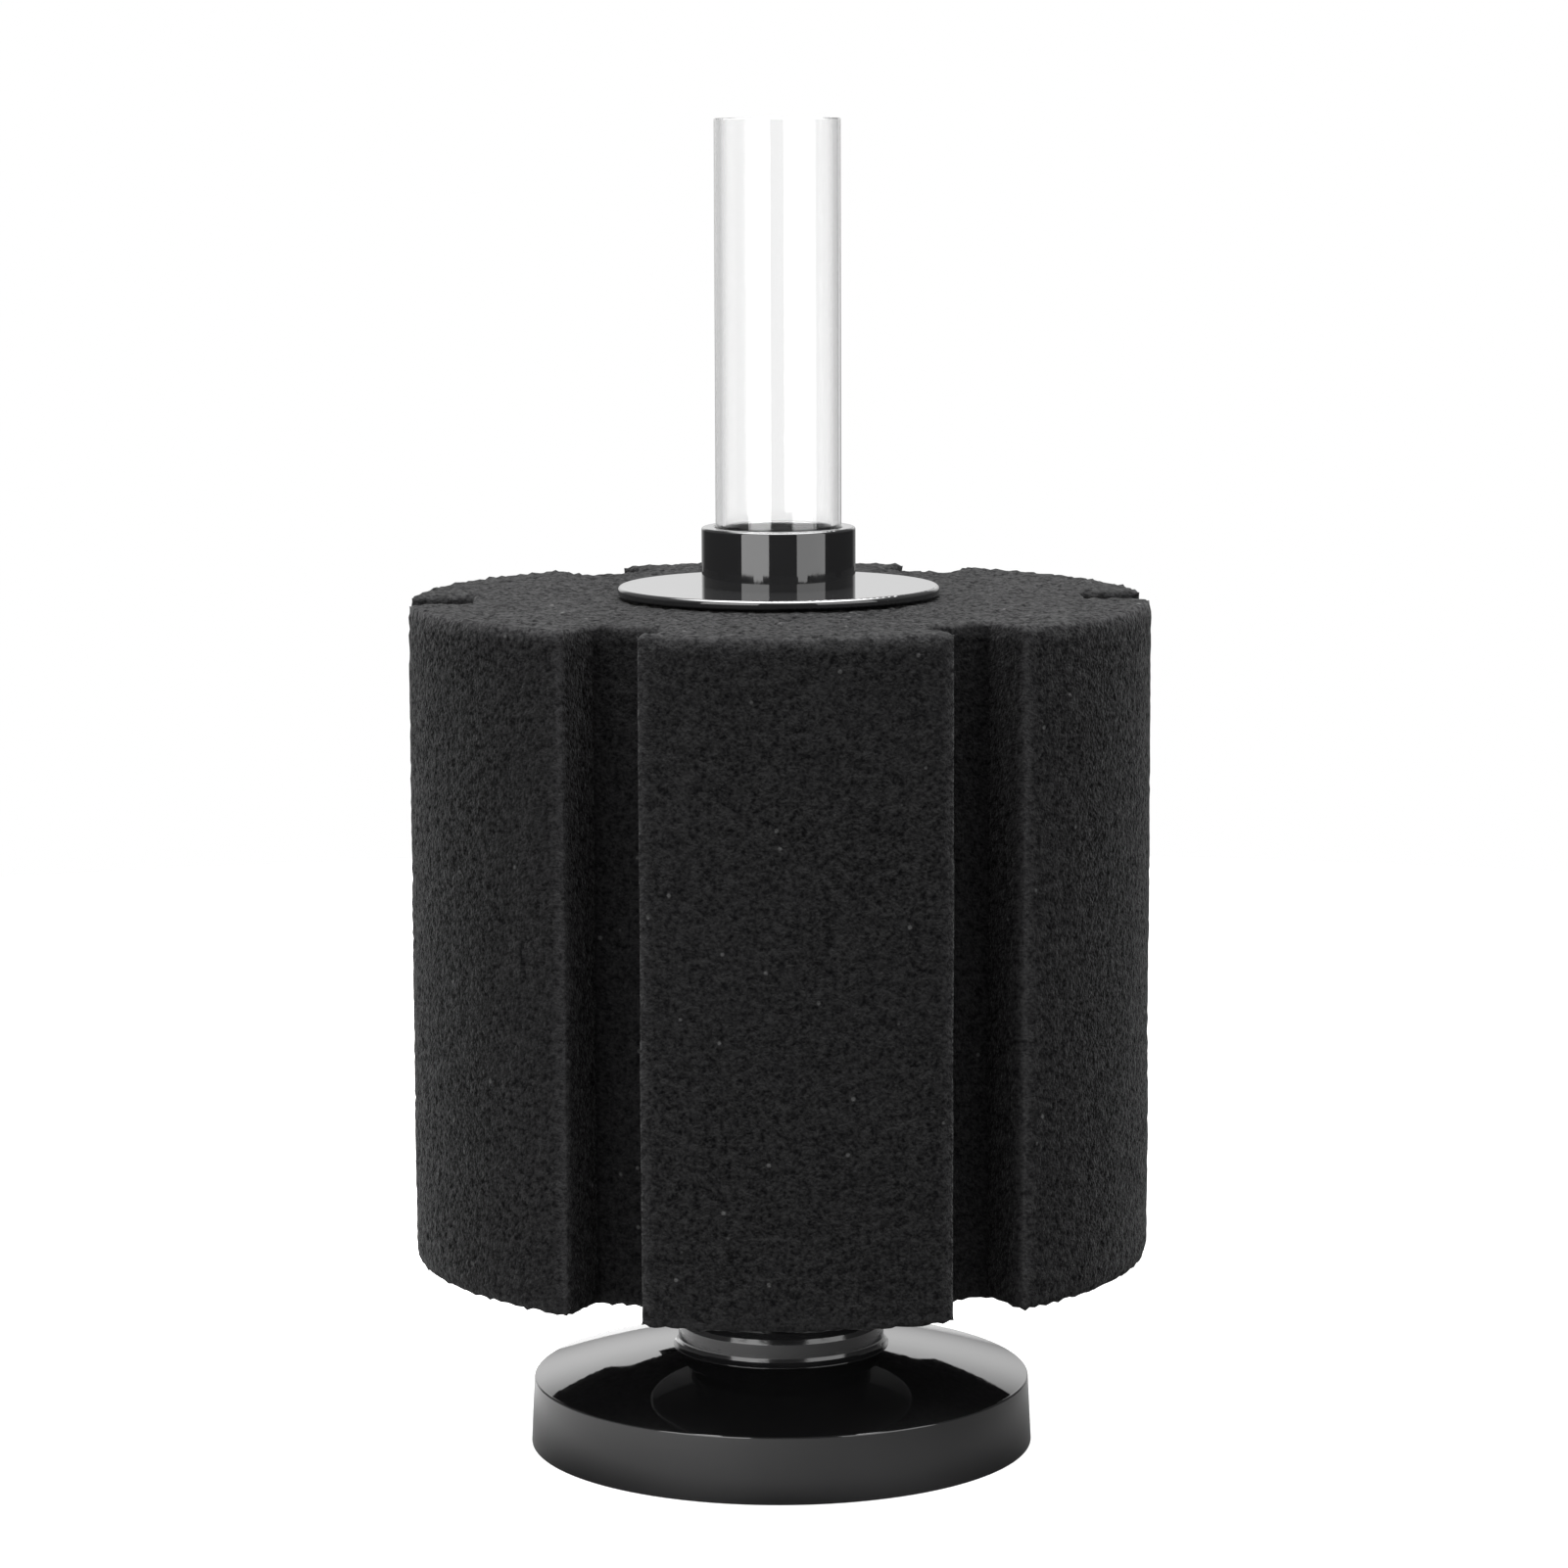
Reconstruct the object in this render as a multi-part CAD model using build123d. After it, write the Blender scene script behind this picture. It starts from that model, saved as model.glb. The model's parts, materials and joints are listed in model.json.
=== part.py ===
"""Aquarium sponge filter: a weighted base, a strainer core with an air nozzle, a foam sleeve,
a plugged cap and a clear lift tube. Millimetres, +Z up, origin at the centre of the base's foot."""
import os

from build123d import *

# --- overall sizes ---
SPONGE_RADIUS = 47.5
SPONGE_BOTTOM = 25.5
SPONGE_TOP = 110.0
SPONGE_BORE_RADIUS = 11.5
GROOVE_COUNT = 6
GROOVE_WIDTH = 9.8
GROOVE_DEPTH = 8.0
GROOVE_CORNER_RADIUS = 0.8
GROOVE_TURN = 2.7                  # degrees from +X to the first groove

TUBE_RADIUS = 8.0                  # 16 mm lift tube
TUBE_WALL = 1.2
TUBE_TOP = 170.4

PLATE_RADIUS = 20.5                # the two round plates that hold the sponge
PLATE_THICKNESS = 1.2
PLATE_GAP = 0.2                    # air between a plate and the foam

COLLAR_RADIUS = 9.8
COLLAR_TOP = 118.9

BASE_RADIUS = 32.5
BASE_TOP_RADIUS = 32.1             # the side wall has a little draft
BASE_RIM = 8.6                     # height of the side wall
SHELL_WALL = 2.0

NECK_RADIUS = 13.35
NECK_FOOT_RADIUS = 13.95           # the neck flares out where it meets the dome
NECK_BOTTOM = 12.5
NECK_TOP = 16.8

# --- fits ---
SLIDE_GAP = 0.1                    # radial gap of a plugged joint
TUBE_GAP = 0.08                    # radial gap of the lift tube in its collar
PRESS_GAP = 0.05                   # radial gap of pieces pressed together for good

# --- strainer core ---
CORE_RADIUS = 11.2
CORE_WALL = 1.75
CORE_TOP = SPONGE_TOP - 0.2
CORE_INNER = CORE_RADIUS - CORE_WALL
SPIGOT_RADIUS = 10.4
SPIGOT_LENGTH = 9.0
SPIGOT_WALL = 1.8
CORE_FLOOR_BOTTOM = 17.0
CORE_FLOOR_TOP = 19.0
FLANGE_RADIUS = 12.8
FLANGE_BOTTOM = 18.6
FLANGE_TOP = 20.0
SLOT_COLUMNS = 6
SLOT_ROWS = 4
SLOT_WIDTH = 4.4
SLOT_HEIGHT = 15.5
SLOT_PITCH = 18.0
FIRST_SLOT_CENTRE = 37.0

# --- air nozzle ---
NIPPLE_RADIUS = 2.15               # for 4 mm airline
NIPPLE_TOP = 38.0
NIPPLE_BORE_RADIUS = 1.1
AIR_CUP_RADIUS = 7.0
AIR_CUP_WALL = 1.2
AIR_CUP_TOP = 23.6
AIR_CUP_PLUG_RADIUS = 3.6
AIR_LID_THICKNESS = 1.2
AIR_HOLE_COUNT = 8
AIR_HOLE_RADIUS = 0.4
AIR_HOLE_CIRCLE = 4.2

# --- cap ---
TUBE_SEAT = 105.0                  # shoulder that the lift tube stands on
SKIRT_BOTTOM = 99.5

# --- base internals ---
COVER_BOTTOM = 0.6
COVER_TOP = 2.4
COVER_RADIUS = 30.8
SOCKET_RADIUS = 12.0
SOCKET_FLOOR_TOP = 4.2
BALLAST_INNER = 14.5
BALLAST_OUTER = 28.4


def turned(outline, rounds=()):
    """Solid of revolution about Z. outline holds (radius, height) points, and rounds holds
    ((radius, height), fillet radius) pairs for corners of the outline."""
    section = make_face(Polyline(*[(r, 0, z) for r, z in outline], close=True)).face()
    for (r, z), fillet_radius in rounds:
        corner = section.vertices().sort_by_distance((r, 0, z))[0]
        section = section.fillet_2d(fillet_radius, [corner])
    return revolve(section, Axis.Z)


def base_shell():
    """Low round housing: a drafted side wall under a shallow domed top with a hole for the socket."""
    edge_round = 0.3
    hole = SOCKET_RADIUS + SLIDE_GAP
    dome_foot = NECK_FOOT_RADIUS + 0.1
    inner_rim = BASE_TOP_RADIUS - SHELL_WALL
    inner_top = NECK_BOTTOM - SHELL_WALL
    crown = 0.1                    # share of the rise by which the dome bulges above a cone

    def dome(rim_radius, rim_height, foot_height):
        rise = foot_height - rim_height
        middle = ((rim_radius + dome_foot) / 2, 0, rim_height + rise * (0.5 + crown))
        return ThreePointArc((rim_radius, 0, rim_height), middle, (dome_foot, 0, foot_height))

    dome_rim = BASE_TOP_RADIUS - edge_round
    outside = Polyline((BASE_RADIUS, 0, 0), (BASE_TOP_RADIUS, 0, BASE_RIM - edge_round))
    edge = ThreePointArc(
        (BASE_TOP_RADIUS, 0, BASE_RIM - edge_round),
        (BASE_TOP_RADIUS - 0.29 * edge_round, 0, BASE_RIM - 0.29 * edge_round),
        (dome_rim, 0, BASE_RIM),
    )
    top = dome(dome_rim, BASE_RIM, NECK_BOTTOM)
    hole_wall = Polyline((dome_foot, 0, NECK_BOTTOM), (hole, 0, NECK_BOTTOM), (hole, 0, inner_top),
                         (dome_foot, 0, inner_top))
    ceiling = dome(inner_rim, BASE_RIM - SHELL_WALL, inner_top)
    recess = COVER_RADIUS + SLIDE_GAP
    inside = Polyline((inner_rim, 0, BASE_RIM - SHELL_WALL), (inner_rim, 0, COVER_TOP),
                      (recess, 0, COVER_TOP), (recess, 0, 0), (BASE_RADIUS, 0, 0))
    section = make_face(outside.edges() + edge.edges() + top.edges() + hole_wall.edges()
                        + ceiling.edges() + inside.edges())
    return revolve(section, Axis.Z)


def ballast_ring():
    """Cast weight inside the base; its top slopes like the shell above it."""
    return turned([(BALLAST_INNER, COVER_TOP), (BALLAST_OUTER, COVER_TOP), (BALLAST_OUTER, 6.7),
                   (BALLAST_INNER, 9.8)])


def base_cover():
    """Disc that closes the base from below, recessed so that only the shell's rim stands down."""
    return turned([(0, COVER_BOTTOM), (COVER_RADIUS, COVER_BOTTOM), (COVER_RADIUS, COVER_TOP), (0, COVER_TOP)])


def core_socket():
    """Blind cup through the middle of the base; its ring is the neck above the dome, with
    softened shoulders at its top and a flare at its foot."""
    bore = SPIGOT_RADIUS + SLIDE_GAP
    step = 0.2
    upper_shoulder = [(NECK_RADIUS, NECK_TOP - 1.35), (NECK_RADIUS - step, NECK_TOP - 0.65)]
    flare = [(NECK_RADIUS + step, NECK_BOTTOM + 0.45), (NECK_RADIUS, NECK_BOTTOM + 1.1)]
    return turned(
        [(0, COVER_TOP), (SOCKET_RADIUS, COVER_TOP), (SOCKET_RADIUS, NECK_BOTTOM),
         (NECK_FOOT_RADIUS, NECK_BOTTOM), (NECK_FOOT_RADIUS, NECK_BOTTOM + 0.1), *flare, *upper_shoulder,
         (NECK_RADIUS - 3 * step, NECK_TOP), (bore, NECK_TOP), (bore, SOCKET_FLOOR_TOP), (0, SOCKET_FLOOR_TOP)],
        rounds=[(corner, 0.8) for corner in flare + upper_shoulder],
    )


def strainer_core():
    """Slotted tube that carries the sponge, with a spigot below and a floor for the air nozzle."""
    spigot_bottom = NECK_TOP - SPIGOT_LENGTH
    spigot_inner = SPIGOT_RADIUS - SPIGOT_WALL
    body = turned([
        (spigot_inner, spigot_bottom), (SPIGOT_RADIUS - 0.4, spigot_bottom), (SPIGOT_RADIUS, spigot_bottom + 0.6),
        (SPIGOT_RADIUS, NECK_TOP), (CORE_RADIUS, NECK_TOP), (CORE_RADIUS, FLANGE_BOTTOM),
        (FLANGE_RADIUS, FLANGE_BOTTOM), (FLANGE_RADIUS, FLANGE_TOP), (CORE_RADIUS, FLANGE_TOP),
        (CORE_RADIUS, CORE_TOP - 0.8), (CORE_RADIUS - 0.5, CORE_TOP), (CORE_INNER, CORE_TOP),
        (CORE_INNER, CORE_FLOOR_TOP), (AIR_CUP_PLUG_RADIUS, CORE_FLOOR_TOP),
        (AIR_CUP_PLUG_RADIUS, CORE_FLOOR_BOTTOM), (spigot_inner, CORE_FLOOR_BOTTOM),
    ])
    # each cut goes right through, so it makes two facing slots
    cuts = []
    for row in range(SLOT_ROWS):
        height = FIRST_SLOT_CENTRE + row * SLOT_PITCH
        outline = Plane.XZ * Pos(0, height) * SlotOverall(SLOT_HEIGHT, SLOT_WIDTH, rotation=90)
        slot = extrude(outline, amount=CORE_RADIUS + 2, both=True)
        for column in range(SLOT_COLUMNS // 2):
            cuts.append(Rot(0, 0, column * 360 / SLOT_COLUMNS) * slot)
    return body - cuts


def bottom_plate():
    """Round plate under the sponge; its hub stands on the core's flange."""
    plate_top = SPONGE_BOTTOM - PLATE_GAP
    plate_bottom = plate_top - PLATE_THICKNESS
    hub_bore = CORE_RADIUS + PRESS_GAP
    hub_radius = FLANGE_RADIUS + 0.3
    return turned(
        [(hub_bore, FLANGE_TOP), (hub_radius, FLANGE_TOP), (hub_radius, plate_bottom),
         (PLATE_RADIUS, plate_bottom), (PLATE_RADIUS, plate_top), (hub_bore, plate_top)],
        rounds=[((PLATE_RADIUS, plate_bottom), 0.5), ((PLATE_RADIUS, plate_top), 0.3)],
    )


def air_cup():
    """Small cup pressed into the core's floor; it spreads the air under the drilled lid."""
    return turned([
        (0, CORE_FLOOR_BOTTOM), (AIR_CUP_PLUG_RADIUS - PRESS_GAP, CORE_FLOOR_BOTTOM),
        (AIR_CUP_PLUG_RADIUS - PRESS_GAP, CORE_FLOOR_TOP), (AIR_CUP_RADIUS, CORE_FLOOR_TOP),
        (AIR_CUP_RADIUS, AIR_CUP_TOP), (AIR_CUP_RADIUS - AIR_CUP_WALL, AIR_CUP_TOP),
        (AIR_CUP_RADIUS - AIR_CUP_WALL, CORE_FLOOR_TOP + 1.4), (0, CORE_FLOOR_TOP + 1.4),
    ])


def air_nozzle():
    """Airline nipple on a lid drilled with fine holes, where the bubbles come out."""
    lid_top = AIR_CUP_TOP + AIR_LID_THICKNESS
    ring_outer = AIR_CUP_RADIUS - AIR_CUP_WALL - PRESS_GAP
    ring_inner = ring_outer - 0.9
    ring_bottom = AIR_CUP_TOP - 1.2
    boss_radius = NIPPLE_RADIUS + 1.0
    boss_top = lid_top + 2.0
    tip = 0.6
    body = turned([
        (NIPPLE_BORE_RADIUS, AIR_CUP_TOP), (ring_inner, AIR_CUP_TOP), (ring_inner, ring_bottom),
        (ring_outer, ring_bottom), (ring_outer, AIR_CUP_TOP), (AIR_CUP_RADIUS, AIR_CUP_TOP),
        (AIR_CUP_RADIUS, lid_top), (boss_radius, lid_top), (boss_radius, boss_top - 0.6),
        (boss_radius - 0.6, boss_top), (NIPPLE_RADIUS, boss_top), (NIPPLE_RADIUS, NIPPLE_TOP - tip),
        (NIPPLE_RADIUS - 0.5, NIPPLE_TOP), (NIPPLE_BORE_RADIUS, NIPPLE_TOP),
    ])
    hole = Cylinder(AIR_HOLE_RADIUS, 4 * AIR_LID_THICKNESS)
    holes = [place * hole for place in PolarLocations(AIR_HOLE_CIRCLE, AIR_HOLE_COUNT)]
    return body - [Pos(0, 0, lid_top) * hole for hole in holes]


def sponge():
    """Thick foam sleeve with grooves down its outside, which leave fins between them."""
    groove_floor = (SPONGE_RADIUS ** 2 - (GROOVE_WIDTH / 2) ** 2) ** 0.5 - GROOVE_DEPTH
    groove_length = 2 * GROOVE_DEPTH
    groove = RectangleRounded(groove_length, GROOVE_WIDTH, GROOVE_CORNER_RADIUS)
    outline = Circle(SPONGE_RADIUS) - Circle(SPONGE_BORE_RADIUS)
    for number in range(GROOVE_COUNT):
        turn = Rot(0, 0, GROOVE_TURN + number * 360 / GROOVE_COUNT)
        outline -= turn * Pos(groove_floor + groove_length / 2, 0) * groove
    return Pos(0, 0, SPONGE_BOTTOM) * extrude(outline, amount=SPONGE_TOP - SPONGE_BOTTOM)


def top_cap():
    """Flat plate on the sponge, with the lift tube's collar above and a skirt plugged into the core."""
    plate_bottom = SPONGE_TOP + PLATE_GAP
    plate_top = plate_bottom + PLATE_THICKNESS
    skirt_radius = CORE_INNER - SLIDE_GAP
    socket = TUBE_RADIUS + TUBE_GAP
    passage = TUBE_RADIUS - TUBE_WALL
    return turned(
        [(passage, SKIRT_BOTTOM), (skirt_radius - 0.4, SKIRT_BOTTOM), (skirt_radius, SKIRT_BOTTOM + 0.8),
         (skirt_radius, plate_bottom), (PLATE_RADIUS, plate_bottom), (PLATE_RADIUS, plate_top),
         (COLLAR_RADIUS, plate_top), (COLLAR_RADIUS, COLLAR_TOP), (socket, COLLAR_TOP),
         (socket, TUBE_SEAT), (passage, TUBE_SEAT)],
        rounds=[((PLATE_RADIUS, plate_bottom), 0.3), ((PLATE_RADIUS, plate_top), 0.5),
                ((COLLAR_RADIUS, COLLAR_TOP), 0.35), ((socket, COLLAR_TOP), 0.3)],
    )


def lift_tube():
    """Clear tube that stands in the collar, open at both ends."""
    inner = TUBE_RADIUS - TUBE_WALL
    corners = [(inner, TUBE_SEAT), (TUBE_RADIUS, TUBE_SEAT), (TUBE_RADIUS, TUBE_TOP), (inner, TUBE_TOP)]
    return turned(corners, rounds=[(corner, 0.2) for corner in corners])


PIECES = {
    "base_shell": base_shell,
    "ballast_ring": ballast_ring,
    "base_cover": base_cover,
    "core_socket": core_socket,
    "strainer_core": strainer_core,
    "bottom_plate": bottom_plate,
    "air_cup": air_cup,
    "air_nozzle": air_nozzle,
    "sponge": sponge,
    "top_cap": top_cap,
    "lift_tube": lift_tube,
}

os.makedirs("parts", exist_ok=True)
for name, make in PIECES.items():
    export_step(make(), f"parts/{name}.step")
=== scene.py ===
"""Looks of an aquarium sponge filter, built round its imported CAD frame. Metres, +Z up."""
import json
import math

import bmesh
import bpy
from mathutils import Matrix, Vector, noise
from mathutils.geometry import delaunay_2d_cdt


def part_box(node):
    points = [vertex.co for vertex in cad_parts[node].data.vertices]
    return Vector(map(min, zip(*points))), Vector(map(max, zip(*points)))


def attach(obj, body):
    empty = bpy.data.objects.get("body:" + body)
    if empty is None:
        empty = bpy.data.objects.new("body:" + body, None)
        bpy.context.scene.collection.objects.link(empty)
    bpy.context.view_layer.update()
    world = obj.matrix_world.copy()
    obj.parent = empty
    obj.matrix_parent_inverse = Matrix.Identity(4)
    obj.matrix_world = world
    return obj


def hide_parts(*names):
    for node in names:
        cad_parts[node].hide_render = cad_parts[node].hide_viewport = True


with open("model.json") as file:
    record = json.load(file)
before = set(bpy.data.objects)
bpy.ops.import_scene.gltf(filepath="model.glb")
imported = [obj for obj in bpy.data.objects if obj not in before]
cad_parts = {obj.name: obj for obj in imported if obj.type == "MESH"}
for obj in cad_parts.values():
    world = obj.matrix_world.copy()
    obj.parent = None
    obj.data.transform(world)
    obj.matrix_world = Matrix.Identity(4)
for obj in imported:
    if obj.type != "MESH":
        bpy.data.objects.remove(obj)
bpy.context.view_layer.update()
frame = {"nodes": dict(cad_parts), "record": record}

MM = 0.001

# --- sponge: sizes of its CAD solid ---
GROOVE_COUNT = 6
GROOVE_WIDTH = 9.8 * MM
GROOVE_DEPTH = 8.0 * MM
GROOVE_TURN = math.radians(2.7)
BORE_RADIUS = 11.6 * MM

# --- sponge: its mesh ---
FOAM_SKIN = 0.12 * MM              # how far the mesh starts inside the CAD solid
FOAM_STEP = 0.76 * MM              # spacing of its points
BORE_STEP = 2.0 * MM
OUTLINE_GAP = 0.6 * FOAM_STEP      # from an outline to the nearest point scattered inside it
SCATTER = 0.2 * FOAM_STEP          # how far those points are moved off their grid
SCATTER_CHANGE = 7.3               # noise cells from one of those points to the next
SCATTER_SEED = 3                   # without a seed, noise_vector differs from run to run
MERGE_DISTANCE = 0.01 * MM
TRIANGLE_TOLERANCE = 1e-7

# --- sponge: its relief ---
EDGE_FADE = {0: 1.0, 1: 0.8, 2: 0.3}     # how much a point belongs to a cut edge, by steps from it
EDGE_ROUND = 0.45 * MM
EDGE_CALM = 0.6                    # share of the grain and pores that a cut edge loses
WAVE_LENGTH = 16 * MM
WAVE_RELIEF = 0.12 * MM
GRAIN_LENGTH = 0.9 * MM
GRAIN_RELIEF = 0.10 * MM
END_GRAIN_RELIEF = 0.22 * MM       # added to the grain's relief on the end faces
PORE_SPACING = 1.7 * MM
PORE_REACH = 0.5                   # share of the spacing
PORE_DEPTH = 0.20 * MM
SHADE_DEPTH = 1.5 * MM             # painted shade on a groove's walls is at its darkest from this deep in it

# --- lift tube ---
TUBE_WALL_MIDDLE = (7.3 * MM, 7.5 * MM)  # radii between the tube's bore and its outside

# --- camera ---
CAMERA_DISTANCE = 0.631
CAMERA_HEIGHT = 0.1737
CAMERA_PITCH = math.radians(7.93)
CAMERA_ROLL = math.radians(-0.19)
CAMERA_LENS = 114.17
SENSOR_WIDTH = 36.0
SHIFT_X = 0.003
CLIP_START = 0.01

# --- floor ---
FLOOR_RADIUS = 0.5
FLOOR_SHADE = (-0.06, 0.06)        # painted shade: from its pale left part to its darker right part, along X
FLOOR_PALE = ((0.175, 0.175, 0.175), (0.19, 0.19, 0.19))
FLOOR_SHADE_COLOUR = (0.045, 0.045, 0.045)

# --- studio: where each ramp lies along its axis of the view direction, and its brightness there ---
BACK_PANEL = ((0.8, 0.95), (0.3, 1.8))
LEFT_TO_RIGHT = ((-0.7, 0.9), (1.05, 0.7))
TABLE_TO_WALL = ((-0.12, 0.26), (0.2, 1.0))
CEILING = ((0.7, 0.97), (0.0, 31.0))

# --- softboxes: azimuth 0 is the camera's side ---
SOFTBOX_DISTANCE = 1.1
SOFTBOX_HEIGHT = 1.1
SOFTBOX_CENTRE = 0.35
LEFT_SOFTBOX = {"azimuth": math.radians(-35.5), "width": 0.86, "power": 16.0}
RIGHT_SOFTBOX = {"azimuth": math.radians(50.5), "width": 0.94, "power": 12.0}


# ---------------------------------------------------------------- materials

class Shader:
    """A Principled material being built, with short calls for its nodes."""

    def __init__(self, name, **constants):
        self.material = bpy.data.materials.new(name)
        self.material.use_nodes = True
        self.tree = self.material.node_tree
        self.tree.nodes.clear()
        self.bsdf = self.tree.nodes.new("ShaderNodeBsdfPrincipled")
        output = self.tree.nodes.new("ShaderNodeOutputMaterial")
        self.tree.links.new(self.bsdf.outputs["BSDF"], output.inputs["Surface"])
        for socket, value in constants.items():
            self.bsdf.inputs[socket.replace("_", " ")].default_value = value
        self.coordinates = self.tree.nodes.new("ShaderNodeTexCoord")
        self.place = self.coordinates.outputs["Object"]

    def link(self, value, socket):
        """Links a socket to another, or gives it a plain value."""
        if isinstance(value, bpy.types.NodeSocket):
            self.tree.links.new(value, socket)
        else:
            socket.default_value = value

    def noise(self, scale, detail=2.0, roughness=0.5, vector=None):
        node = self.tree.nodes.new("ShaderNodeTexNoise")
        node.inputs["Scale"].default_value = scale
        node.inputs["Detail"].default_value = detail
        node.inputs["Roughness"].default_value = roughness
        self.tree.links.new(vector or self.place, node.inputs["Vector"])
        return node.outputs["Fac"]

    def cells(self, scale):
        node = self.tree.nodes.new("ShaderNodeTexVoronoi")
        node.inputs["Scale"].default_value = scale
        self.tree.links.new(self.place, node.inputs["Vector"])
        return node.outputs["Distance"]

    def attribute(self, name):
        node = self.tree.nodes.new("ShaderNodeAttribute")
        node.attribute_name = name
        return node.outputs["Fac"]

    def stretch(self, x, y, z):
        """The object's coordinates, each times its own factor."""
        node = self.tree.nodes.new("ShaderNodeMapping")
        node.inputs["Scale"].default_value = (x, y, z)
        self.tree.links.new(self.place, node.inputs["Vector"])
        return node.outputs["Vector"]

    def split(self, vector):
        node = self.tree.nodes.new("ShaderNodeSeparateXYZ")
        self.tree.links.new(vector, node.inputs["Vector"])
        return node.outputs

    def upright_share(self):
        """How far the surface faces straight up or down, from 0 to 1."""
        return self.math("ABSOLUTE", self.split(self.coordinates.outputs["Normal"])["Z"])

    def distance_from_axis(self):
        """Distance of a point from the object's Z axis."""
        node = self.tree.nodes.new("ShaderNodeVectorMath")
        node.operation = "LENGTH"
        self.tree.links.new(self.stretch(1.0, 1.0, 0.0), node.inputs[0])
        return node.outputs["Value"]

    def math(self, operation, first, second=0.0):
        node = self.tree.nodes.new("ShaderNodeMath")
        node.operation = operation
        self.link(first, node.inputs[0])
        self.link(second, node.inputs[1])
        return node.outputs[0]

    def remap(self, value, span=(0.0, 1.0), to=(0.0, 1.0)):
        """Turns a value's span into another one, and holds it there."""
        node = self.tree.nodes.new("ShaderNodeMapRange")
        for socket, number in zip(node.inputs[1:5], (*span, *to)):
            socket.default_value = number
        self.tree.links.new(value, node.inputs["Value"])
        return node.outputs["Result"]

    def blend(self, share, low, high):
        """Mixes two colours."""
        node = self.tree.nodes.new("ShaderNodeMix")
        node.data_type = "RGBA"
        self.link(share, node.inputs["Factor"])
        for colour, socket in ((low, node.inputs[6]), (high, node.inputs[7])):
            self.link(colour if isinstance(colour, bpy.types.NodeSocket) else (*colour, 1.0), socket)
        return node.outputs[2]

    def set(self, socket, value):
        self.link(value, self.bsdf.inputs[socket])

    def bump(self, height, distance, strength):
        node = self.tree.nodes.new("ShaderNodeBump")
        self.link(strength, node.inputs["Strength"])
        node.inputs["Distance"].default_value = distance
        self.tree.links.new(height, node.inputs["Height"])
        self.tree.links.new(node.outputs["Normal"], self.bsdf.inputs["Normal"])


def foam_height(paint):
    """Height of the foam's struts above its pores."""
    coarse = paint.noise(scale=1250, detail=2, roughness=0.6)
    fine = paint.noise(scale=2500, detail=3, roughness=0.6)
    pores = paint.cells(scale=1000)
    height = paint.math("ADD", paint.math("MULTIPLY", coarse, 0.55), paint.math("MULTIPLY", fine, 0.45))
    return paint.math("ADD", height, paint.math("MULTIPLY", pores, 0.18))


def foam_tone(paint, strut):
    """Foam's colour: black pores, dark grey struts, a few painted glints on strut tips and a painted
    highlight along the cut edges.
    """
    pore_colour = (0.001, 0.001, 0.0011)
    strut_colour = (0.0062, 0.0062, 0.0063)
    patch_colour = (0.004, 0.004, 0.0042)
    glint_colour = (0.06, 0.06, 0.06)
    edge_highlight_colour = (0.013, 0.013, 0.0133)
    tone = paint.blend(strut, pore_colour, strut_colour)
    patches = paint.remap(paint.noise(scale=60, detail=3), span=(0.3, 0.7), to=(0.0, 0.25))
    tone = paint.blend(patches, tone, patch_colour)
    # painted glints: a few spots where struts would catch the light are lightened
    painted_glints = paint.remap(paint.cells(scale=230), span=(0.08, 0.04), to=(0.0, 0.35))
    tone = paint.blend(painted_glints, tone, glint_colour)
    # painted highlight: the foam is lightened along its cut edges, most on the struts
    cut_edge = paint.math("MULTIPLY", paint.attribute("cut_edge"), paint.remap(strut, to=(0.25, 0.75)))
    return paint.blend(cut_edge, tone, edge_highlight_colour)


def foam_material():
    """Dry open-cell foam with painted shade in the sponge's grooves, where it is also duller."""
    groove_shade_strength = 0.35
    paint = Shader("foam_open_cell", Roughness=0.8, Sheen_Roughness=0.4)
    height = foam_height(paint)
    strut = paint.remap(height, span=(0.42, 0.74))
    depth = paint.attribute("painted_groove_shade")
    # painted shade: the foam's colour is darkened towards black deep in its grooves
    painted_shade = paint.math("MULTIPLY", depth, groove_shade_strength)
    paint.set("Base Color", paint.blend(painted_shade, foam_tone(paint, strut), (0.0, 0.0, 0.0)))
    shine = paint.math("MULTIPLY", strut, paint.remap(depth, to=(1.0, 0.65)))
    paint.set("Specular IOR Level", paint.remap(shine, to=(0.01, 0.04)))
    paint.set("Sheen Weight", paint.remap(shine, to=(0.0, 0.04)))
    side_to_end_strength = paint.remap(paint.upright_share(), to=(0.8, 0.35))
    paint.bump(height, distance=0.5 * MM, strength=side_to_end_strength)
    return paint.material


def gloss_black():
    """Polished moulded plastic: near-mirror black with a faint flow in its surface."""
    paint = Shader("gloss_black_plastic")
    flow = paint.noise(scale=55)
    haze = paint.noise(scale=900, detail=3)
    paint.set("Base Color", paint.blend(flow, (0.004, 0.004, 0.0042), (0.007, 0.007, 0.0072)))
    paint.set("Roughness", paint.remap(haze, span=(0.35, 0.75), to=(0.03, 0.07)))
    paint.bump(flow, distance=0.03 * MM, strength=0.25)
    return paint.material


def satin_black():
    """Moulded plastic with a fine satin grain."""
    paint = Shader("satin_black_plastic")
    grain = paint.noise(scale=2600)
    flow = paint.noise(scale=120)
    paint.set("Base Color", paint.blend(flow, (0.006, 0.006, 0.0063), (0.01, 0.01, 0.0105)))
    paint.set("Roughness", paint.remap(flow, span=(0.3, 0.7), to=(0.1, 0.16)))
    paint.bump(grain, distance=0.02 * MM, strength=0.35)
    return paint.material


def grey_plastic():
    """Plain dark grey plastic of the air cup and the air nozzle."""
    paint = Shader("grey_nozzle_plastic")
    flow = paint.noise(scale=300)
    paint.set("Base Color", paint.blend(flow, (0.07, 0.074, 0.08), (0.1, 0.104, 0.11)))
    paint.set("Roughness", paint.remap(flow, span=(0.3, 0.7), to=(0.34, 0.46)))
    paint.bump(flow, distance=0.02 * MM, strength=0.3)
    return paint.material


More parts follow.
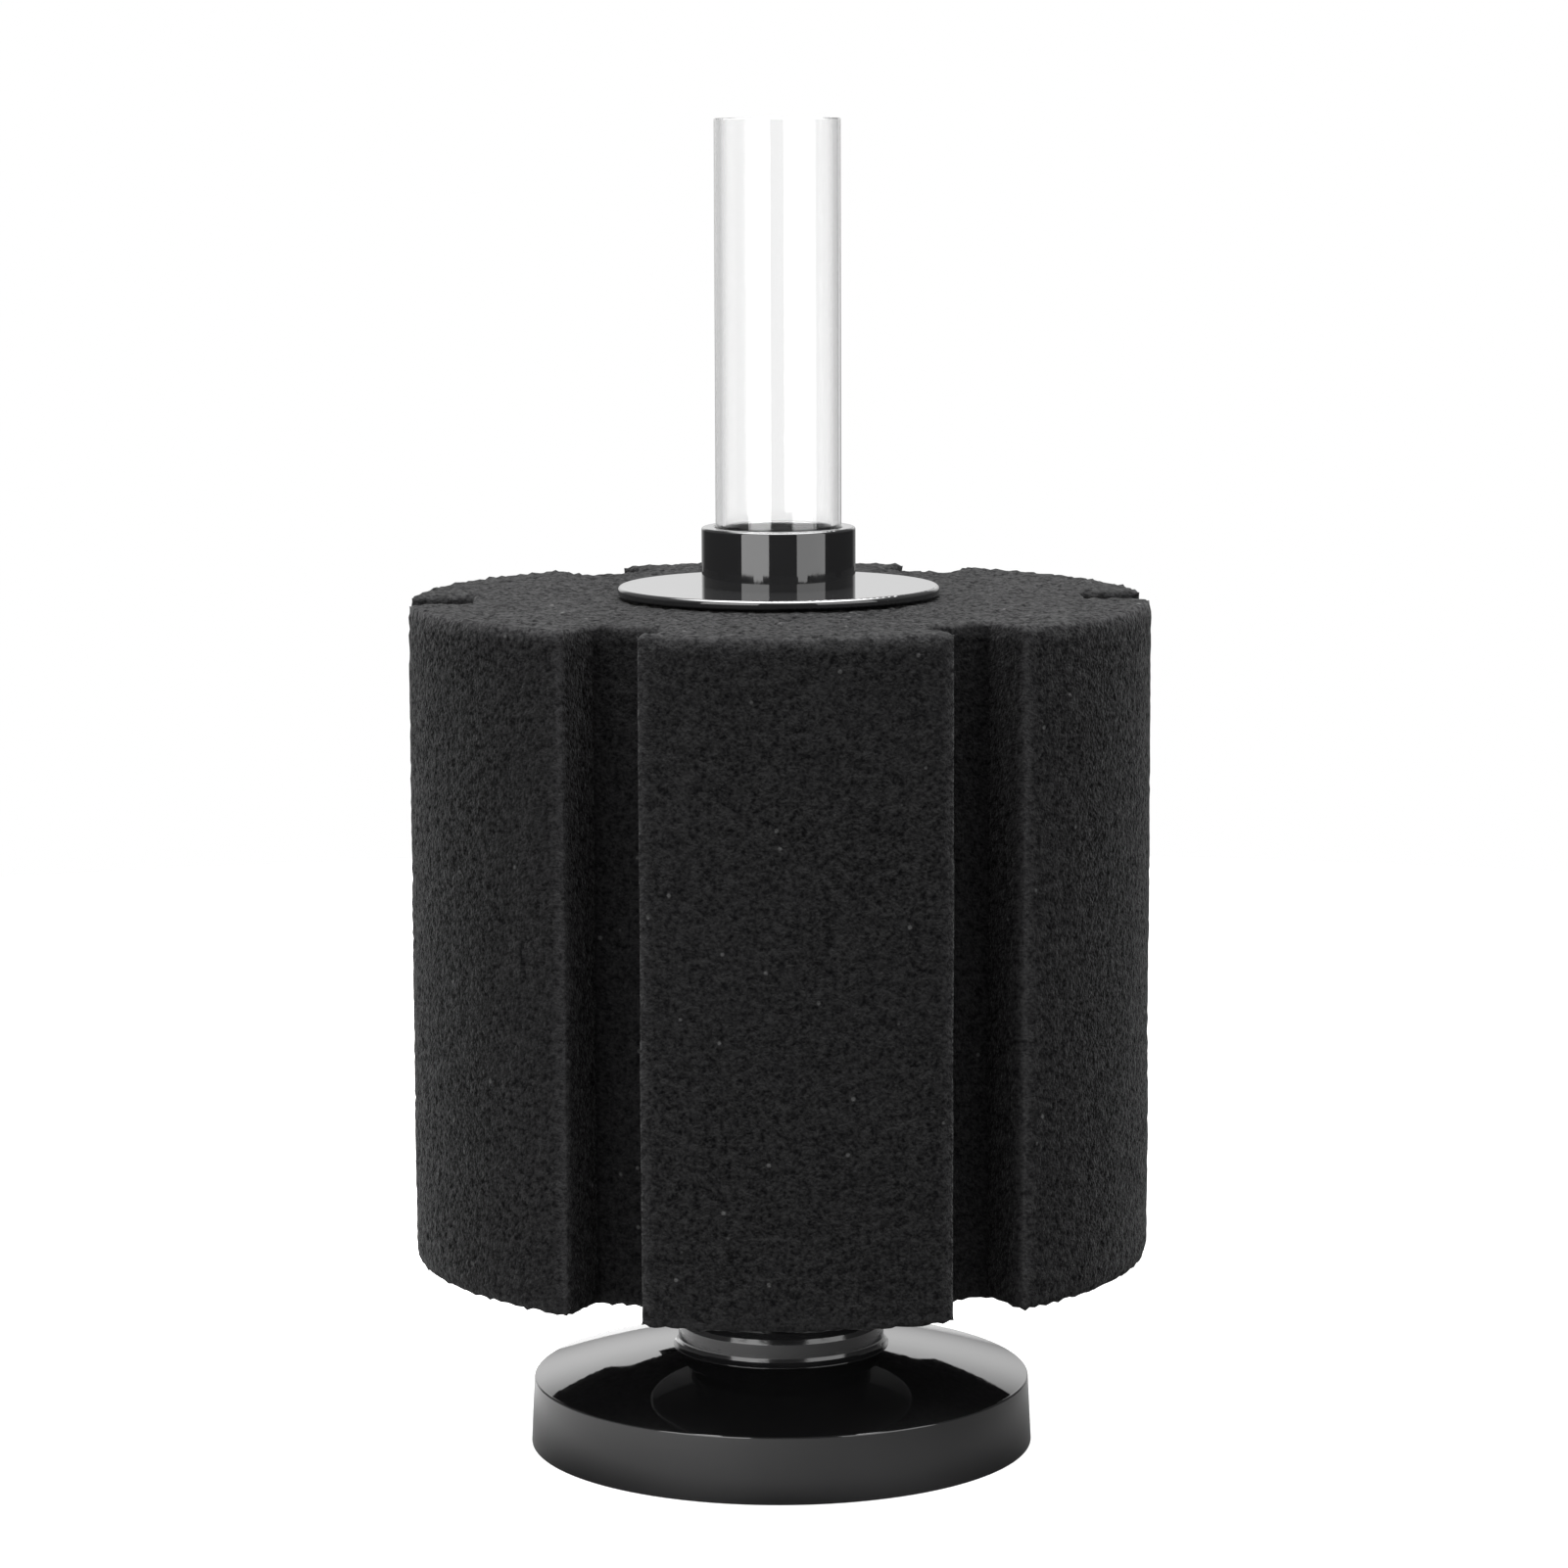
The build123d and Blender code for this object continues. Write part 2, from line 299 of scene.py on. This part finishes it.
def clear_acrylic():
    """Clear extruded tube with faint draw lines along it and a grey line in the edge of its wall."""
    paint = Shader("clear_acrylic", Transmission_Weight=1.0, IOR=1.49)
    lines = paint.noise(scale=420, detail=1, vector=paint.stretch(1.0, 1.0, 0.02))
    facing = paint.tree.nodes.new("ShaderNodeLayerWeight").outputs["Facing"]
    rise = paint.remap(facing, span=(0.38, 0.56))
    fall = paint.remap(facing, span=(0.6, 0.8), to=(1.0, 0.35))
    outside = paint.remap(paint.distance_from_axis(), span=TUBE_WALL_MIDDLE)
    wall_line = paint.math("MULTIPLY", paint.math("MINIMUM", rise, fall), outside)
    clear = paint.blend(lines, (0.94, 0.94, 0.94), (0.968, 0.968, 0.968))
    paint.set("Base Color", paint.blend(wall_line, clear, (0.45, 0.45, 0.45)))
    paint.set("Roughness", paint.remap(lines, span=(0.3, 0.7), to=(0.05, 0.08)))
    paint.bump(lines, distance=0.01 * MM, strength=0.15)
    return paint.material


def cast_weight():
    """Rough cast iron of the ballast, seen only when the base is open."""
    paint = Shader("cast_weight", Metallic=1.0)
    grit = paint.noise(scale=700, detail=4, roughness=0.65)
    paint.set("Base Color", paint.blend(grit, (0.08, 0.078, 0.075), (0.2, 0.195, 0.19)))
    paint.set("Roughness", paint.remap(grit, span=(0.3, 0.7), to=(0.5, 0.75)))
    paint.bump(grit, distance=0.15 * MM, strength=0.7)
    return paint.material


def finish_cad_nodes():
    """Gives every CAD node that stays visible its own finish."""
    finishes = {
        "gloss_black": gloss_black(),
        "satin_black": satin_black(),
        "grey_plastic": grey_plastic(),
        "clear_acrylic": clear_acrylic(),
        "ballast": cast_weight(),
    }
    for row in frame["record"]["subparts"]:
        material = finishes.get(row["material_slot"])
        if material:
            for slot in frame["nodes"][row["node"]].material_slots:
                slot.material = material


# ---------------------------------------------------------------- sponge

def line(start, end, spacing):
    """Evenly spaced points from start up to, but not including, end."""
    count = max(1, round((end - start).length / spacing))
    return [start.lerp(end, i / count) for i in range(count)]


def circle(radius, start, end, spacing):
    """Evenly spaced points along an arc, without its last one."""
    count = max(1, round((end - start) * radius / spacing))
    angles = [start + (end - start) * i / count for i in range(count)]
    return [Vector((radius * math.cos(angle), radius * math.sin(angle), 0)) for angle in angles]


def groove_axes():
    """Direction out along each groove's middle, and the one across it."""
    axes = []
    for number in range(GROOVE_COUNT):
        angle = GROOVE_TURN + number * 2 * math.pi / GROOVE_COUNT
        along = Vector((math.cos(angle), math.sin(angle), 0))
        axes.append((along, Vector((-along.y, along.x, 0))))
    return axes


def groove_floor(radius):
    """Distance of the grooves' floors from the axis."""
    return math.sqrt(radius ** 2 - (GROOVE_WIDTH / 2) ** 2) - GROOVE_DEPTH


def sponge_outline(radius):
    """Ring of points round the sponge's outside, and the places in it of the fins' corners."""
    half_groove = math.asin(GROOVE_WIDTH / 2 / radius)
    step = 2 * math.pi / GROOVE_COUNT
    points = []
    corners = set()
    for number, (along, across) in enumerate(groove_axes()):
        floor = along * groove_floor(radius)
        side = across * GROOVE_WIDTH / 2
        wall = along * GROOVE_DEPTH
        corners.add(len(points))
        points += line(floor + wall - side, floor - side, FOAM_STEP)
        points += line(floor - side, floor + side, FOAM_STEP)
        points += line(floor + side, floor + wall + side, FOAM_STEP)
        corners.add(len(points))
        start = GROOVE_TURN + number * step + half_groove
        points += circle(radius, start, start + step - 2 * half_groove, FOAM_STEP)
    return points, corners


def inner_points(radius, bore_radius):
    """Scattered points of the sponge's end faces, clear of the outline and the bore."""
    noise.seed_set(SCATTER_SEED)
    reach = math.ceil(radius / FOAM_STEP)
    nearest_floor = groove_floor(radius) - OUTLINE_GAP
    nearest_side = GROOVE_WIDTH / 2 + OUTLINE_GAP
    points = []
    for i in range(-reach, reach + 1):
        for j in range(-reach, reach + 1):
            point = Vector(((i + 0.5 * (j % 2)) * FOAM_STEP, j * FOAM_STEP, 0))
            point += Vector(noise.noise_vector(point / FOAM_STEP * SCATTER_CHANGE).xy).to_3d() * SCATTER
            if not bore_radius + OUTLINE_GAP < point.length < radius - OUTLINE_GAP:
                continue
            in_groove = any(point.dot(along) > nearest_floor and abs(point.dot(across)) < nearest_side
                            for along, across in groove_axes())
            if not in_groove:
                points.append(point)
    return points


def add_wall(bm, ring, corners, spacing, bottom, top):
    """Rows of faces round a closed ring, from the sponge's bottom to its top."""
    cut_edge = bm.verts.layers.float["cut_edge"]
    painted_groove_shade = bm.verts.layers.float["painted_groove_shade"]
    ring_radius = max(point.length for point in ring)
    rows = round((top - bottom) / spacing)
    below = None
    for row in range(rows + 1):
        height = bottom + (top - bottom) * row / rows
        verts = [bm.verts.new((point.x, point.y, height)) for point in ring]
        for i, vert in enumerate(verts):
            steps = [(i - corner) % len(ring) for corner in corners]
            steps += [(corner - i) % len(ring) for corner in corners]
            vert[cut_edge] = EDGE_FADE.get(min([row, rows - row] + steps), 0.0)
            # how deep the point lies in a groove, which the foam material turns into painted shade
            vert[painted_groove_shade] = min(1.0, (ring_radius - ring[i].length) / SHADE_DEPTH)
        for i in range(len(ring) if below else 0):
            bm.faces.new((below[i - 1], below[i], verts[i], verts[i - 1]))
        below = verts


def add_end_faces(bm, outside, bore, radius, bore_radius, heights):
    """Even triangles between the sponge's outline and its bore, at each height."""
    cut_edge = bm.verts.layers.float["cut_edge"]
    count = len(outside)
    flat = outside + bore + inner_points(radius, bore_radius)
    seams = [((i - 1) % count, i) for i in range(count)]
    seams += [(count + (i - 1) % len(bore), count + i) for i in range(len(bore))]
    points, _, triangles, sources, *_ = delaunay_2d_cdt(
        [point.xy for point in flat], seams, [], 1, TRIANGLE_TOLERANCE)
    for height in heights:
        verts = [bm.verts.new((point.x, point.y, height)) for point in points]
        for vert, source in zip(verts, sources):
            vert[cut_edge] = 1.0 if source and source[0] < count else 0.0
        for triangle in triangles:
            middle = sum((points[i] for i in triangle), Vector((0, 0))) / 3
            if middle.length > bore_radius:
                bm.faces.new([verts[i] for i in triangle])


def sponge_block():
    """Closed, evenly meshed skin of the sponge with crisp corners, a little inside its CAD solid."""
    low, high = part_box("sponge")
    radius = (high.y - low.y) / 2 - FOAM_SKIN
    bore_radius = BORE_RADIUS + FOAM_SKIN
    bottom = low.z + FOAM_SKIN
    top = high.z - FOAM_SKIN
    outside, corners = sponge_outline(radius)
    bore = circle(bore_radius, 0, 2 * math.pi, BORE_STEP)

    bm = bmesh.new()
    bm.verts.layers.float.new("cut_edge")
    bm.verts.layers.float.new("painted_groove_shade")
    add_wall(bm, outside, corners, FOAM_STEP, bottom, top)
    add_wall(bm, bore, set(), BORE_STEP, bottom, top)
    add_end_faces(bm, outside, bore, radius, bore_radius, (bottom, top))
    bmesh.ops.delete(bm, geom=[vert for vert in bm.verts if not vert.link_faces], context="VERTS")
    bmesh.ops.remove_doubles(bm, verts=bm.verts, dist=MERGE_DISTANCE)
    bmesh.ops.recalc_face_normals(bm, faces=bm.faces)
    mesh = bpy.data.meshes.new("foam_sleeve")
    bm.to_mesh(mesh)
    bm.free()
    return mesh


def foam_surface(mesh):
    """Moves the surface in and out: slow unevenness of the cut, grain, pores and soft edges."""
    normals = [vertex.normal.copy() for vertex in mesh.vertices]
    edges = mesh.attributes["cut_edge"].data
    for vertex, normal, edge in zip(mesh.vertices, normals, edges):
        place = vertex.co
        wave = WAVE_RELIEF * noise.noise(place / WAVE_LENGTH)
        distances, _ = noise.voronoi(place / PORE_SPACING)
        pore = PORE_DEPTH * max(0.0, PORE_REACH - distances[0]) / PORE_REACH
        grain_relief = GRAIN_RELIEF + END_GRAIN_RELIEF * abs(normal.z)
        grain = grain_relief * noise.noise(place / GRAIN_LENGTH)
        relief = (grain - pore) * (1.0 - EDGE_CALM * edge.value)
        vertex.co = place + normal * (wave + relief - EDGE_ROUND * edge.value ** 3)


def make_sponge():
    """The foam sleeve, roughened by its pores."""
    mesh = sponge_block()
    foam_surface(mesh)
    for polygon in mesh.polygons:
        polygon.use_smooth = True
    mesh.materials.append(foam_material())
    piece = bpy.data.objects.new("foam_sleeve", mesh)
    bpy.context.scene.collection.objects.link(piece)
    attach(piece, "sponge")
    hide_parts("sponge")


# ---------------------------------------------------------------- stage

def floor_paint():
    """Plain white to the camera and through the tube; a dull grey in reflections and light, with painted
    shade on its right part.
    """
    paint = Shader("floor_paint", Roughness=0.7, Specular_IOR_Level=0.1, Emission_Color=(1.0, 1.0, 1.0, 1.0))
    path = paint.tree.nodes.new("ShaderNodeLightPath").outputs
    # painted shade: the floor darkens from left to right, seen only in reflections and the light it bounces
    shade = paint.remap(paint.split(paint.place)["X"], span=FLOOR_SHADE)
    pale = paint.blend(paint.noise(scale=6), *FLOOR_PALE)
    paint.set("Base Color", paint.blend(shade, pale, FLOOR_SHADE_COLOUR))
    paint.set("Emission Strength", paint.math("MAXIMUM", path["Is Camera Ray"], path["Is Transmission Ray"]))
    return paint.material


def make_floor():
    """Round floor that the filter stands on."""
    bm = bmesh.new()
    bmesh.ops.create_circle(bm, cap_ends=True, radius=FLOOR_RADIUS, segments=128)
    mesh = bpy.data.meshes.new("floor")
    bm.to_mesh(mesh)
    bm.free()
    mesh.materials.append(floor_paint())
    piece = bpy.data.objects.new("floor", mesh)
    bpy.context.scene.collection.objects.link(piece)


def make_world():
    """Dim studio with a bright panel behind and a bright ceiling, plain white to the camera."""
    world = bpy.data.worlds.new("studio")
    bpy.context.scene.world = world
    world.use_nodes = True
    tree = world.node_tree
    tree.nodes.clear()
    link = tree.links.new

    def node(kind, **settings):
        made = tree.nodes.new(kind)
        for key, value in settings.items():
            setattr(made, key, value)
        return made

    def ramp(value, span, to):
        made = node("ShaderNodeMapRange", interpolation_type="SMOOTHSTEP")
        for socket, number in zip(made.inputs[1:5], (*span, *to)):
            socket.default_value = number
        link(value, made.inputs["Value"])
        return made.outputs["Result"]

    def combine(operation, first, second):
        made = node("ShaderNodeMath", operation=operation)
        link(first, made.inputs[0])
        link(second, made.inputs[1])
        return made.outputs[0]

    direction = node("ShaderNodeSeparateXYZ")
    link(node("ShaderNodeTexCoord").outputs["Generated"], direction.inputs[0])
    back = ramp(direction.outputs["Y"], *BACK_PANEL)
    sideways = ramp(direction.outputs["X"], *LEFT_TO_RIGHT)
    above_table = ramp(direction.outputs["Z"], *TABLE_TO_WALL)
    ceiling = ramp(direction.outputs["Z"], *CEILING)
    studio = combine("ADD", combine("MULTIPLY", back, combine("MULTIPLY", sideways, above_table)), ceiling)

    path = node("ShaderNodeLightPath").outputs
    light = node("ShaderNodeMix")
    link(combine("MAXIMUM", path["Is Camera Ray"], path["Is Transmission Ray"]), light.inputs["Factor"])
    link(studio, light.inputs[2])
    light.inputs[3].default_value = 1.0
    background = node("ShaderNodeBackground")
    background.inputs["Color"].default_value = (1.0, 1.0, 1.0, 1.0)
    link(light.outputs[0], background.inputs["Strength"])
    link(background.outputs[0], node("ShaderNodeOutputWorld").inputs["Surface"])


def softbox(name, azimuth, width, power):
    """Tall soft light that faces the filter."""
    data = bpy.data.lights.new(name, "AREA")
    data.shape = "RECTANGLE"
    data.size = width
    data.size_y = SOFTBOX_HEIGHT
    data.energy = power
    light = bpy.data.objects.new(name, data)
    outward = Vector((math.sin(azimuth), -math.cos(azimuth), 0))
    light.location = outward * SOFTBOX_DISTANCE + Vector((0, 0, SOFTBOX_CENTRE))
    light.rotation_euler = outward.to_track_quat("Z", "Y").to_euler()
    bpy.context.scene.collection.objects.link(light)


def make_camera():
    """Camera in front of the filter and a little above its middle."""
    data = bpy.data.cameras.new("camera")
    data.lens = CAMERA_LENS
    data.sensor_width = SENSOR_WIDTH
    data.shift_x = SHIFT_X
    data.clip_start = CLIP_START
    camera = bpy.data.objects.new("camera", data)
    camera.rotation_mode = "QUATERNION"
    camera.location = (0, -CAMERA_DISTANCE, CAMERA_HEIGHT)
    tilt = Matrix.Rotation(math.pi / 2 - CAMERA_PITCH, 4, "X") @ Matrix.Rotation(CAMERA_ROLL, 4, "Z")
    camera.rotation_quaternion = tilt.to_quaternion()
    bpy.context.scene.collection.objects.link(camera)
    bpy.context.scene.camera = camera


make_camera()
make_world()
make_floor()
softbox("softbox_left", **LEFT_SOFTBOX)
softbox("softbox_right", **RIGHT_SOFTBOX)
bpy.context.scene.view_settings.view_transform = "Standard"
finish_cad_nodes()
make_sponge()
